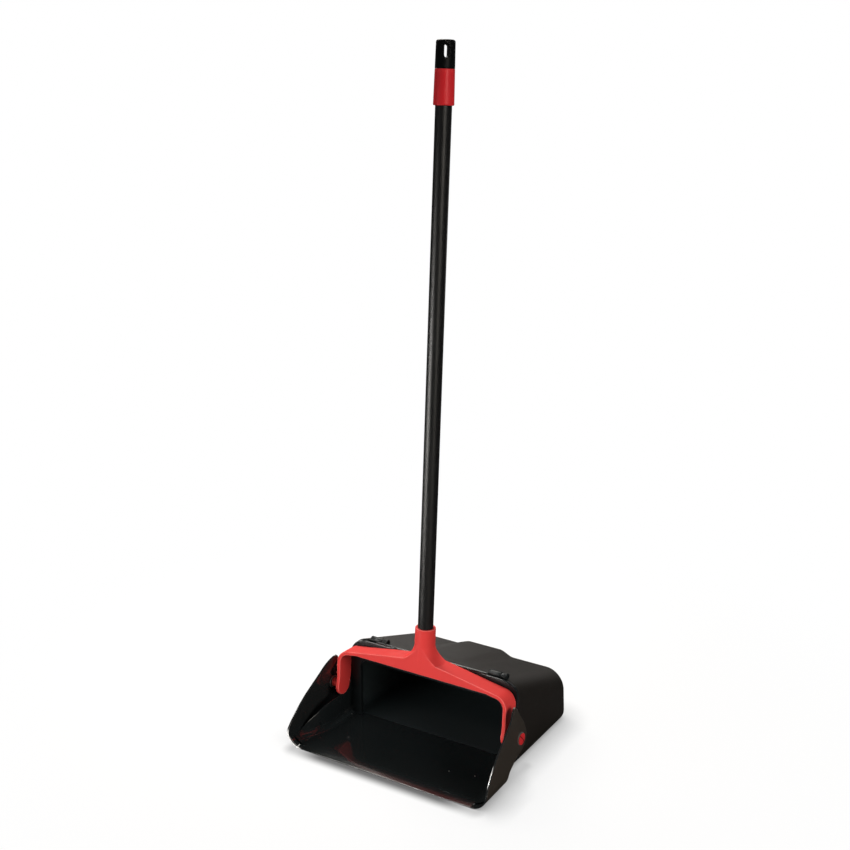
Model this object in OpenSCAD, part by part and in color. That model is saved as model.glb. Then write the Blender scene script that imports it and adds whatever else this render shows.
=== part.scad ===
// Upright lobby dustpan: open front pan, hinged rear hood, swinging yoke and a long tube handle.
// Millimetres, Z up, lip toward -Y, origin on the floor under the middle of the pan.

/* [Pan] */
// Depth from the lip to the back of the hood
pan_depth = 297; // [280:1:320]
// Width across the lip at the widest height
lip_width = 333; // [320:1:350]
// Moulded wall of the front pan
pan_wall = 3; // [2.6:0.1:3.4]
// Outside radius between the pan floor and its cheeks
cheek_radius = 25; // [20:1:30]
// Inward lean of the cheeks, degrees
cheek_lean = 5; // [3:0.5:7]
// Narrowing of the cheeks toward the back, degrees
cheek_taper = 1.6; // [1:0.1:2.2]
// Height of the cheek's upper corner
cheek_height = 103.5; // [98:0.5:108]
// Distance from the lip to the cheek's upper corner
cheek_reach = 98; // [94:1:102]
// Distance from the lip to the foot of the cheek's free rear edge
cheek_foot = 64; // [58:1:70]
// Radius of the ear round the pivot
ear_radius = 18; // [15:0.5:20]
// Thickness of the lip at its front edge
lip_edge = 1.4; // [1:0.1:2]
// Length of the bevel behind the lip
lip_bevel = 18; // [12:1:24]
// Height of the low inner walls that lead to the mouth
inner_wall_height = 42.4; // [39:0.2:42.4]

/* [Mouth frame] */
// Distance from the pivot axis back to the front of the mouth frame
frame_step = 21.6; // [21.2:0.1:23]
// Thickness of the mouth frame
frame_depth = 5.8; // [5:0.1:7]
// Width of the frame on each side of the mouth opening
mouth_side = 23.5; // [18:0.5:35]
// Height of the top of the mouth opening
mouth_height = 94.3; // [90:0.1:104]
// Corner radius of the mouth opening
mouth_corner = 12; // [8:1:16]
// Radius of the rounded bead along the top of the frame
bead_radius = 2; // [1.5:0.1:2.5]

/* [Hood] */
// Step in from each side of the lip to the side of the hood
side_step = 21; // [19:0.5:24]
// Moulded wall of the hood
hood_wall = 2.6; // [2.2:0.1:3]
// Inward lean of the hood walls, degrees
hood_lean = 2.6; // [1.5:0.1:3.5]
// Narrowing of the hood toward the back, degrees
hood_taper = 0.6; // [0.2:0.1:1]
// Height of the roof at the hinge edge
hood_height = 128.2; // [122:0.1:134]
// Slope of the roof down to the back, degrees
roof_slope = 19; // [17:0.5:21]
// Radius of the roof shoulders
shoulder_radius = 30; // [24:1:34]
// Radius along the bottom edges of the hood
hood_foot_radius = 14; // [10:1:18]
// Radius of the rear upright corners
rear_corner = 26; // [20:1:32]
// Radius of the rear edges of roof and floor
rear_round = 12; // [8:1:14]
// Slope of the raised centre panel, degrees
crown_slope = 16; // [15:0.5:16.5]
// Half width of the raised centre panel on top
crown_half = 28; // [22:1:34]
// Width of each flank of the raised centre panel
crown_flank = 24; // [18:1:30]
// Distance behind the hinge edge at which the centre panel leaves the roof
crown_set_back = 20.2; // [16.2:0.5:38]
// Gap between the mouth frame and the closed hood
hood_gap = 0.4; // [0.3:0.05:0.6]

/* [Hood hinge] */
// Distance of the hinge axis behind the mouth frame
hinge_set_back = 2.8; // [2.4:0.1:3.4]
// Outside radius of the hinge barrels
barrel_radius = 4.75; // [4.4:0.05:5]
// Length of a hinge barrel
barrel_length = 20; // [16:1:24]
// Length of a hood lug beside a barrel, with its end flange
lug_length = 9; // [7:0.5:11]
// Distance of each hinge's middle inside the side of the hood
hinge_inset = 45.25; // [42.75:0.25:50]
// Sideways offset of the hinge pair toward the right
hinge_offset = 3.4; // [0:0.1:6]
// Radius of the hinge pins
hinge_pin_radius = 2; // [1.6:0.1:2.4]
// Running clearance of a hinge pin in its barrel, on the radius
hinge_clearance = 0.05; // [0.03:0.01:0.1]
// Gap between barrel and lug
lug_gap = 0.4; // [0.3:0.05:0.8]

/* [Yoke] */
// Distance of the pivot axis behind the lip
pivot_reach = 104; // [103:0.1:104.4]
// Height of the pivot axis
pivot_height = 58.6; // [58.2:0.1:60]
// Backward lean of the handle at rest, degrees
handle_lean = 3.6; // [3:0.1:3.6]
// Distance of the handle axis behind the pivot axis
arm_set_back = 2; // [1:0.1:2]
// Length of the bosses between the arms and the ears
boss_length = 13.6; // [13.2:0.1:15.4]
// Thickness of the arms and of the cross strip
strip_thickness = 5.5; // [5:0.1:6]
// Depth of the arms and of the cross strip
strip_depth = 29; // [28.4:0.1:29]
// Height of the cross strip's shoulder bend above the pivot
bend_height = 60; // [58:0.5:62]
// Radius of the bend between cross strip and arm
bend_radius = 20; // [16:0.5:24]
// Slope of the cross strip up to the socket, degrees
strip_slope = 9.4; // [8:0.1:11]
// Height of the front web's lower edge above the pivot
web_foot = 56.6; // [53:0.2:57]
// Thickness of the front web
web_thickness = 4; // [3:0.1:5]
// Height of the socket rim above the pivot
socket_top = 124.4; // [120:0.2:130]
// Outside radius of the handle socket
socket_radius = 14.5; // [14:0.05:14.5]
// Radius of the flare between socket and cross strip
flare_radius = 32; // [24:1:34]
// Radius of the bosses that carry the pivot pins
boss_radius = 6.7; // [6.4:0.1:7]

/* [Pivot pins] */
// Radius of the pin shank
pin_radius = 4.6; // [4:0.1:5]
// Radius of the pin head
pin_head_radius = 8.4; // [7.6:0.1:9]
// Thickness of the pin head at its edge
pin_head_edge = 1.2; // [1:0.1:1.6]
// Rise of the domed pin head
pin_dome = 1.2; // [0.8:0.1:1.6]
// Width of the split across the pin head
pin_split = 1.2; // [0.8:0.1:1.6]
// Turn of the split, degrees
pin_split_turn = 40; // [0:5:90]
// Radius of the flat pads round the pivot holes
pad_radius = 9.4; // [9.2:0.1:10]
// Running clearance of a pin in its ear, on the radius
pin_clearance = 0.06; // [0.03:0.01:0.1]
// Gap between an ear and the yoke boss
boss_gap = 0.5; // [0.4:0.1:0.8]
// Gap between a pin head and its ear
head_gap = 0.3; // [0.3:0.05:0.4]

/* [Handle] */
// Outside radius of the handle tube
tube_radius = 11.1; // [10.6:0.1:11.4]
// Wall of the handle tube
tube_wall = 1; // [0.8:0.1:1.2]
// Length of tube inside the socket
tube_grip = 46; // [42:1:48]
// Length of the whole handle from the socket rim to the top
handle_length = 802.6; // [600:0.2:1000]
// Length of the tip above the socket rim
tip_above = 26; // [20:1:32]
// Radius of the tip's stud below the tube
stud_radius = 7; // [6:0.1:8]
// Length of the tip's stud below the tube
stud_length = 8; // [6:0.5:10]
// Clearance of the tube in socket, sleeve and cap, on the radius
tube_clearance = 0.05; // [0.02:0.01:0.1]
// Radius of the punch marks that hold the tip
punch_radius = 1.2; // [0.8:0.1:1.6]
// Height of the main punch mark above the socket rim
punch_height = 12; // [9:0.5:16]

/* [Grip] */
// Length of the grip sleeve
sleeve_length = 45.8; // [38:0.2:60]
// Lower radius of the grip sleeve
sleeve_low_radius = 13.9; // [13.4:0.1:14.4]
// Upper radius of the grip sleeve
sleeve_top_radius = 13.2; // [13:0.1:13.4]
// Height of the hanger cap
cap_length = 36.2; // [34:0.2:42]
// Upper radius of the hanger cap
cap_top_radius = 12.7; // [12.3:0.1:13]
// Rounding of the cap's upper edge
cap_round = 3; // [2:0.2:4]
// Depth of the cap's skirt over the tube
cap_skirt = 12; // [9:0.5:12.4]
// Width of the hanging slot
slot_width = 6.2; // [5:0.1:7]
// Height of the hanging slot
slot_height = 17; // [14:0.5:17.5]
// Turn of the hanging slot about the handle, degrees
slot_turn = 39; // [0:1:90]
// Gap between sleeve and cap
cap_gap = 0.2; // [0.1:0.05:0.3]

/* [Hidden] */
$fn = 64;
black = "#1b1b1c";
dark = "#2a2724";
red = "#c8323a";
steel = "#8d8f92";
far = 400;
frame_front = pivot_reach + frame_step;
frame_back = frame_front + frame_depth;
hood_front = frame_back + hood_gap;
crown_start = hood_front + crown_set_back;
hinge_y = frame_back + hinge_set_back;
hinge_z = hood_height + 0.4;
hood_width = lip_width - 2 * side_step;
hood_half = hood_width / 2;
lip_half = lip_width / 2;
mouth_width = hood_width - 2 * mouth_side;
hinge_pitch = hood_width - 2 * hinge_inset;
wall_start = cheek_foot - 11;
// Outside of the cheek at the pivot, from lip width, taper and lean
ear_x = lip_half - pivot_reach * tan(cheek_taper) - (pivot_height - cheek_radius) * tan(cheek_lean);
pad_out = ear_x + pad_radius * tan(cheek_lean) + 0.2;
pad_in = ear_x - pan_wall - pad_radius * tan(cheek_lean) - 0.2;
boss_end = pad_in - boss_gap;
arm_out = boss_end - boss_length;
arm_in = arm_out - strip_thickness;
pin_end = arm_out + 2;
head_x = pad_out + head_gap;
tube_bottom = socket_top - tube_grip;
handle_top = socket_top + handle_length;
cap_bottom = handle_top - cap_length;
tube_top = cap_bottom + cap_skirt - 0.3;
sleeve_bottom = cap_bottom - cap_gap - sleeve_length;
strip_front = arm_set_back - strip_depth / 2;
left_barrel = hinge_offset - hinge_pitch / 2 - barrel_length / 2;
right_barrel = hinge_offset + hinge_pitch / 2 - barrel_length / 2;
barrel_starts = [left_barrel, right_barrel];
roof_normal = hood_wall / cos(roof_slope);

// Half section of a tub: upright wall on the right that leans inward, floor at z, rounded foot
module tub_half(half, radius, lean, floor_z, at_z) {
    wall_foot = half + (at_z - floor_z) * tan(lean);
    wall_top = half - (far - at_z) * tan(lean);
    center_x = half - (floor_z + radius - at_z) * tan(lean) - radius / cos(lean);
    center_z = floor_z + radius;
    difference() {
        polygon([[-far, floor_z], [wall_foot, floor_z], [wall_top, far], [-far, far]]);
        difference() {
            polygon([[center_x, floor_z - 1], [far, floor_z - 1], [far, center_z + radius * sin(lean)],
                     [center_x + radius * cos(lean), center_z + radius * sin(lean)], [center_x, center_z]]);
            translate([center_x, center_z]) circle(r = radius);
        }
    }
}

// Both halves of a tub run back from the lip, narrowing by the taper about the given depth
module tub(half, radius, lean, floor_z, at_z, taper, at_y) {
    intersection_for (side = [0, 1])
        mirror([side, 0, 0])
            translate([half, at_y, 0]) rotate([0, 0, taper]) translate([-half, 0, 0])
                translate([0, far, 0]) rotate([90, 0, 0]) linear_extrude(2 * far)
                    tub_half(half, radius, lean, floor_z, at_z);
}

// Side outline drawn in depth and height, run across the whole width
module across(width) {
    rotate([90, 0, 90]) linear_extrude(width, center = true) children();
}

// A round bar along X
module bar_x(x, y, z, radius, length) {
    translate([x, y, z]) rotate([0, 90, 0]) cylinder(r = radius, h = length);
}

// Outline of the cheeks and the front floor, with the ear round the pivot
module cheek_outline() {
    ear_low = pivot_height - ear_radius * 0.94;
    polygon([[0, 0], [0, cheek_radius * 0.9], [cheek_reach * 0.39, cheek_height * 0.601],
             [cheek_reach * 0.74, cheek_height * 0.825], [cheek_reach - 6, cheek_height - 3],
             [cheek_reach - 2, cheek_height], [cheek_reach + 4, cheek_height], [cheek_reach + 8, cheek_height - 2.5],
             [pivot_reach + ear_radius * 0.87, pivot_height + ear_radius * 0.5],
             [pivot_reach, pivot_height], [pivot_reach + 2, ear_low], [pivot_reach - 14, ear_low - 4],
             [cheek_foot + 3, 27], [cheek_foot, 22], [cheek_foot, 0]]);
    translate([pivot_reach, pivot_height]) circle(r = ear_radius);
}

// Side outline of the step and ledge that close the side between an inner wall and its cheek
module ledge_outline() {
    top = inner_wall_height;
    polygon([[wall_start, 0], [wall_start, 24], [wall_start + 5, 28.5], [pivot_reach - 16, top - 3],
             [pivot_reach - 8, top], [pivot_reach + 3, top], [pivot_reach + 3, top - 3],
             [pivot_reach - 7, top - 3.4], [pivot_reach - 14, top - 6], [wall_start + 8, 25],
             [wall_start + 3, 21], [wall_start + 3, 0]]);
}

// Side outline of the rim behind and under an ear
module ear_rim_outline() {
    translate([pivot_reach, pivot_height]) intersection() {
        difference() {
            circle(r = ear_radius);
            circle(r = ear_radius - 3);
        }
        polygon([[0, 0], [-10.6, -60], [60, -60], [60, 16]]);
    }
}

// Side outline of the gusset in the corner between an inner wall and the mouth frame
module gusset_outline() {
    low = inner_wall_height - 1;
    polygon([[pivot_reach + 12, low], [pivot_reach + 15, pivot_height - 13],
             [pivot_reach + 17.2, pivot_height - 8.6], [pivot_reach + 18.2, pivot_height - 2.6],
             [frame_front + 0.5, pivot_height - 2.6], [frame_front + 0.5, low]]);
}

module pan_shell(inset) {
    tub(lip_half - inset, cheek_radius - inset, cheek_lean, inset, cheek_radius, cheek_taper, 0);
}

module inner_tub(inset) {
    tub(hood_half - inset, hood_foot_radius - inset, hood_lean, inset, 0, hood_taper, hood_front);
}

// Slab of the roof with rounded shoulders, run along its slope
module roof_slab(inset) {
    half = hood_half - hood_height * tan(hood_lean) + 1.4 - inset;
    radius = shoulder_radius - inset;
    spread = half + far * tan(hood_lean + 1.5);
    translate([0, hood_front, hood_height - inset / cos(roof_slope)]) rotate([-roof_slope, 0, 0])
        translate([0, far, 0]) rotate([90, 0, 0]) linear_extrude(far + 60) {
            polygon([[-half, -radius], [half, -radius], [spread, -radius - far], [-spread, -radius - far]]);
            translate([-half + radius, -radius - 1]) square([2 * (half - radius), radius + 1]);
            for (side = [-1, 1])
                translate([side * (half - radius), -radius]) circle(r = radius);
        }
}

// Raised centre panel, shallower than the roof so that it grows toward the back
module crown_slab(inset) {
    start_z = hood_height - (crown_start - hood_front) * tan(roof_slope);
    translate([0, crown_start, start_z - inset / cos(crown_slope)]) rotate([-crown_slope, 0, 0])
        translate([0, far, 0]) rotate([90, 0, 0]) linear_extrude(far)
            polygon([[-crown_half - crown_flank * 4, -32], [-crown_half, 0], [crown_half, 0],
                     [crown_half + crown_flank * 4, -32]]);
}

// Plan of the hood with round rear corners
module hood_plan(inset) {
    back = pan_depth - inset;
    radius = rear_corner - inset;
    half = hood_half - inset;
    translate([-half - 5, -50]) square([2 * half + 10, back - radius + 50]);
    translate([-half + radius, 0]) square([2 * (half - radius), back]);
    for (side = [-1, 1])
        translate([side * (half - radius), back - radius]) circle(r = radius);
}

// Side outline of the hood with round rear edges
module hood_side(inset, start) {
    back = pan_depth - inset;
    top = hood_height - (pan_depth - hood_front) * tan(crown_slope) - inset;
    translate([start, inset]) square([back - rear_round - start, far]);
    translate([start, inset + rear_round]) square([back - start, top - inset - 2 * rear_round]);
    translate([back - rear_round, top - rear_round]) circle(r = rear_round);
    translate([back - rear_round, inset + rear_round]) circle(r = rear_round);
}

module hood_body(inset, start) {
    intersection() {
        union() {
            roof_slab(inset);
            crown_slab(inset);
        }
        inner_tub(inset);
        linear_extrude(far) hood_plan(inset);
        across(far * 2) hood_side(inset, start);
    }
}

// Front piece of the hood's section, used for the outside of the mouth frame
module frame_block(start, depth) {
    intersection() {
        translate([0, -depth - hood_gap, 0]) roof_slab(0);
        inner_tub(0);
        translate([-far, start, 0]) cube([2 * far, depth, far]);
    }
}

module mouth_opening() {
    half = mouth_width / 2;
    translate([0, frame_back + 1, 0]) rotate([90, 0, 0]) linear_extrude(frame_depth + 2) {
        translate([-half, pan_wall]) square([mouth_width, mouth_height - pan_wall - mouth_corner]);
        translate([-half + mouth_corner, mouth_height - mouth_corner - 1])
            square([mouth_width - 2 * mouth_corner, mouth_corner + 1]);
        for (side = [-1, 1])
            translate([side * (half - mouth_corner), mouth_height - mouth_corner]) circle(r = mouth_corner);
    }
}

module front_pan() {
    color(black) translate([0, -pan_depth / 2, 0]) difference() {
        union() {
            // Scoop floor and cheeks
            intersection() {
                difference() {
                    pan_shell(0);
                    pan_shell(pan_wall);
                }
                across(far * 2) cheek_outline();
            }
            // Low inner walls and floor up to the frame
            intersection() {
                difference() {
                    inner_tub(0);
                    inner_tub(pan_wall);
                }
                translate([-far, wall_start, 0]) cube([2 * far, frame_back - wall_start, inner_wall_height]);
            }
            // Step and ledge between the inner walls and the cheeks
            intersection() {
                difference() {
                    pan_shell(0);
                    inner_tub(0.5);
                }
                across(far * 2) ledge_outline();
            }
            // Rims that close the side behind the ears
            intersection() {
                difference() {
                    pan_shell(1);
                    translate([-arm_out - 0.7, -far, 0]) cube([2 * arm_out + 1.4, 2 * far, far]);
                }
                across(far * 2) ear_rim_outline();
            }
            // Gussets between the inner walls and the frame
            intersection() {
                difference() {
                    inner_tub(0);
                    inner_tub(pan_wall);
                }
                across(far * 2) gusset_outline();
            }
            // Mouth frame
            difference() {
                frame_block(frame_front, frame_depth);
                mouth_opening();
            }
            bar_x(-mouth_width * 0.39, frame_front + bead_radius, hood_height, bead_radius, mouth_width * 0.78);
            // Hinge barrels
            for (x = barrel_starts)
                bar_x(x, hinge_y, hinge_z, barrel_radius, barrel_length);
            // Flat pads round the pivot holes
            for (side = [0, 1])
                mirror([side, 0, 0])
                    bar_x(pad_in, pivot_reach, pivot_height, pad_radius, pad_out - pad_in);
        }
        // Bevel that thins the lip
        across(far * 2) polygon([[-1, pan_wall + 1], [-1, lip_edge - 0.1], [0, lip_edge], [lip_bevel, pan_wall],
                                 [lip_bevel, pan_wall + 1]]);
        for (x = barrel_starts) {
            bar_x(x - 1, hinge_y, hinge_z, hinge_pin_radius + hinge_clearance, barrel_length + 2);
            bar_x(x + barrel_length, hinge_y, hinge_z, barrel_radius + 0.9, lug_length + 2 * lug_gap);
        }
        for (side = [0, 1])
            mirror([side, 0, 0])
                bar_x(pad_in - 1, pivot_reach, pivot_height, pin_radius + pin_clearance, pad_out - pad_in + 2);
    }
}

module hood() {
    color(dark) translate([0, -pan_depth / 2, 0]) difference() {
        union() {
            difference() {
                hood_body(0, hood_front);
                hood_body(hood_wall, hood_front - 20);
                for (x = barrel_starts)
                    bar_x(x - lug_gap, hinge_y, hinge_z, barrel_radius + 0.7, barrel_length + 2 * lug_gap);
            }
            for (x = barrel_starts) {
                bar_x(x + barrel_length + lug_gap, hinge_y, hinge_z, barrel_radius - 0.4, lug_length - 2);
                bar_x(x + barrel_length + lug_gap + lug_length - 2.6, hinge_y, hinge_z, barrel_radius + 0.3, 2.6);
            }
        }
        for (x = barrel_starts)
            bar_x(x + barrel_length - 1, hinge_y, hinge_z, hinge_pin_radius, lug_length + lug_gap - 0.8);
    }
}

// Places a piece drawn about the pivot at its resting lean
module at_pivot() {
    translate([0, pivot_reach - pan_depth / 2, pivot_height]) rotate([-handle_lean, 0, 0]) children();
}

// Places a piece drawn along the handle axis
module on_handle() {
    at_pivot() translate([0, arm_set_back, 0]) children();
}

// Front outline of the cross strip, right half: outside of the band, lowered by the inset
module strip_region(inset) {
    bend_x = arm_out - bend_radius;
    bend_z = bend_height - bend_radius / cos(strip_slope);
    radius = bend_radius - inset;
    drop = inset / cos(strip_slope);
    rise = bend_height - drop + arm_out * tan(strip_slope) - bend_radius * tan(strip_slope);
    difference() {
        polygon([[-1, -far / 4], [arm_out - inset, -far / 4], [arm_out - inset, bend_z],
                 [bend_x + radius * sin(strip_slope), bend_z + radius * cos(strip_slope)], [-1, rise]]);
        difference() {
            polygon([[bend_x, bend_z], [arm_out + 1, bend_z], [arm_out + 1, bend_z + bend_radius * 2],
                     [bend_x + radius * sin(strip_slope), bend_z + bend_radius * 2],
                     [bend_x + radius * sin(strip_slope), bend_z + radius * cos(strip_slope)]]);
            translate([bend_x, bend_z]) circle(r = radius);
        }
    }
    translate([bend_x, bend_z]) circle(r = radius);
}

module yoke_half() {
    // Bent strip: the band between two outlines, cut below where the arm takes over
    translate([0, strip_front + strip_depth, 0]) rotate([90, 0, 0]) linear_extrude(strip_depth)
        intersection() {
            difference() {
                strip_region(0);
                strip_region(strip_thickness);
            }
            translate([0, 30]) square([far, far]);
        }
    // Flat front web under the strip
    translate([0, strip_front + web_thickness, 0]) rotate([90, 0, 0]) linear_extrude(web_thickness)
        intersection() {
            strip_region(strip_thickness - 0.4);
            translate([0, web_foot]) square([far, far]);
        }
    // Arm with a round end, and the boss for the pivot pin
    translate([arm_in, 0, 0]) rotate([90, 0, 90]) linear_extrude(strip_thickness) {
        translate([arm_set_back - 3, 0]) circle(r = strip_depth / 2);
        polygon([[strip_front, 32], [strip_front, 17], [strip_front - 2.8, -2.5],
                 [strip_front + strip_depth - 3.2, -2.5], [strip_front + strip_depth, 12],
                 [strip_front + strip_depth, 32]]);
    }
    bar_x(arm_out - 1, 0, 0, boss_radius, boss_end - arm_out + 1);
}

module yoke() {
    flare_z = bend_height + (arm_out - bend_radius - socket_radius - flare_radius) * tan(strip_slope) - 1.5;
    color(red) at_pivot() difference() {
        union() {
            yoke_half();
            mirror([1, 0, 0]) yoke_half();
            // Socket and the flare at its foot, kept inside the depth of the strip
            translate([0, arm_set_back, web_foot + 4]) cylinder(r = socket_radius, h = socket_top - web_foot - 4);
            intersection() {
                translate([0, arm_set_back, flare_z]) rotate_extrude() difference() {
                    square([socket_radius + flare_radius, flare_radius]);
                    translate([socket_radius + flare_radius, flare_radius]) circle(r = flare_radius);
                }
                translate([-far, strip_front, 0]) cube([2 * far, strip_depth, far]);
            }
            // Upper part of the socket, clear above the mouth frame
            translate([0, arm_set_back, flare_z + 5])
                cylinder(r = socket_radius + 0.4, h = socket_top - flare_z - 5);
        }
        translate([0, arm_set_back, tube_bottom - 0.3])
            cylinder(r = tube_radius + tube_clearance, h = tube_grip + 10);
        translate([0, arm_set_back, tube_bottom - stud_length - 0.6])
            cylinder(r = stud_radius + tube_clearance, h = stud_length + 10);
        for (side = [0, 1])
            mirror([side, 0, 0]) bar_x(pin_end - 0.3, 0, 0, pin_radius, boss_end - pin_end + 2);
    }
}

// Snap pin: shank toward the middle, domed head with a split outside
module pivot_pin() {
    dome_radius = (pin_head_radius * pin_head_radius + pin_dome * pin_dome) / (2 * pin_dome);
    color(red) translate([0, pivot_reach - pan_depth / 2, pivot_height]) difference() {
        rotate([0, 90, 0]) rotate_extrude() {
            translate([0, pin_end]) square([pin_radius, head_x - pin_end + 0.5]);
            translate([0, head_x]) square([pin_head_radius, pin_head_edge]);
            intersection() {
                translate([0, head_x + pin_head_edge + pin_dome - dome_radius]) circle(r = dome_radius, $fn = 256);
                translate([0, head_x + 0.5]) square([pin_head_radius, pin_head_edge + pin_dome]);
            }
        }
        rotate([pin_split_turn, 0, 0]) translate([head_x + pin_head_edge - 0.3, -pin_split / 2, -20])
            cube([10, pin_split, 40]);
    }
}

module left_pivot_pin() {
    mirror([1, 0, 0]) pivot_pin();
}

module right_pivot_pin() {
    pivot_pin();
}

module hinge_pin(start) {
    color(steel) translate([0, -pan_depth / 2, 0])
        bar_x(start + 0.6, hinge_y, hinge_z, hinge_pin_radius, barrel_length + lug_length + lug_gap - 2.6);
}

module left_hinge_pin() {
    hinge_pin(left_barrel);
}

module right_hinge_pin() {
    hinge_pin(right_barrel);
}

module handle_tube() {
    color(dark) on_handle() difference() {
        translate([0, 0, tube_bottom]) cylinder(r = tube_radius, h = tube_top - tube_bottom);
        translate([0, 0, tube_bottom - 1]) cylinder(r = tube_radius - tube_wall, h = tube_top - tube_bottom + 2);
        // Punch marks
        rotate([0, 0, 10]) {
            translate([0, -tube_radius - punch_radius + 0.5, socket_top + punch_height])
                sphere(r = punch_radius, $fn = 32);
            rotate([0, 0, -8]) translate([0, -tube_radius - punch_radius + 0.4, socket_top + punch_height - 6])
                sphere(r = punch_radius, $fn = 32);
        }
    }
}

// Tip pressed inside the lower end of the tube, with a stud that screws into the socket
module handle_tip() {
    color(steel) on_handle() {
        translate([0, 0, tube_bottom]) cylinder(r = tube_radius - tube_wall, h = tube_grip + tip_above);
        translate([0, 0, tube_bottom - stud_length]) cylinder(r = stud_radius, h = stud_length + 1);
    }
}

module grip_sleeve() {
    color(red) on_handle() difference() {
        union() {
            translate([0, 0, sleeve_bottom + 1.6])
                cylinder(r1 = sleeve_low_radius, r2 = sleeve_top_radius, h = sleeve_length - 1.6);
            translate([0, 0, sleeve_bottom + 1.6]) rotate_extrude()
                translate([sleeve_low_radius - 1.6, 0]) circle(r = 1.6, $fn = 32);
            translate([0, 0, sleeve_bottom]) cylinder(r = sleeve_low_radius - 1.6, h = 4);
        }
        translate([0, 0, sleeve_bottom - 1])
            cylinder(r = tube_radius + tube_clearance, h = sleeve_length + 2);
    }
}

module hanger_cap() {
    slot_z = handle_top - 5.6 - slot_height / 2;
    color(black) on_handle() difference() {
        union() {
            translate([0, 0, cap_bottom])
                cylinder(r1 = sleeve_top_radius, r2 = cap_top_radius, h = cap_length - cap_round);
            translate([0, 0, handle_top - cap_round]) rotate_extrude() {
                square([cap_top_radius - cap_round, cap_round]);
                intersection() {
                    translate([cap_top_radius - cap_round, 0]) circle(r = cap_round);
                    square([cap_top_radius, cap_round]);
                }
            }
        }
        translate([0, 0, cap_bottom - 1]) cylinder(r = tube_radius + tube_clearance, h = cap_skirt + 1);
        rotate([0, 0, slot_turn]) translate([0, 30, slot_z]) rotate([90, 0, 0]) linear_extrude(60) {
            square([slot_width, slot_height - slot_width], center = true);
            for (side = [-1, 1])
                translate([0, side * (slot_height - slot_width) / 2]) circle(r = slot_width / 2, $fn = 32);
        }
    }
}

front_pan();
hood();
yoke();
left_pivot_pin();
right_pivot_pin();
left_hinge_pin();
right_hinge_pin();
handle_tube();
handle_tip();
grip_sleeve();
hanger_cap();
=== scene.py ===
import math
import bmesh
import bpy
import numpy as np
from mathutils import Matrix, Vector


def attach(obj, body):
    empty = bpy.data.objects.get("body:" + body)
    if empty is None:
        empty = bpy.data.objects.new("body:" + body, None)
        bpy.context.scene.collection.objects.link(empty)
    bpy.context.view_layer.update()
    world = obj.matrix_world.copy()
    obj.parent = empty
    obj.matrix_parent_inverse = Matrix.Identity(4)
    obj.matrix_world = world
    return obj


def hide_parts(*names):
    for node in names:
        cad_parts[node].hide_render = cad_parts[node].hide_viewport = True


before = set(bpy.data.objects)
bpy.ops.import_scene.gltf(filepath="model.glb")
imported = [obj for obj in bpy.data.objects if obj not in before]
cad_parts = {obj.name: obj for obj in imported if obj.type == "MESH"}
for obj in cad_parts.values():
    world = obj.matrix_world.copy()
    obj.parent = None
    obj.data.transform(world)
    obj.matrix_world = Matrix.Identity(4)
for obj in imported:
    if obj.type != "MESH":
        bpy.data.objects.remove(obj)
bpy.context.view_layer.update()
scene = bpy.context.scene
mm = 0.001
lipShift = -148.5  # the lip stands this far in front of the origin


# Shader wiring

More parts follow.
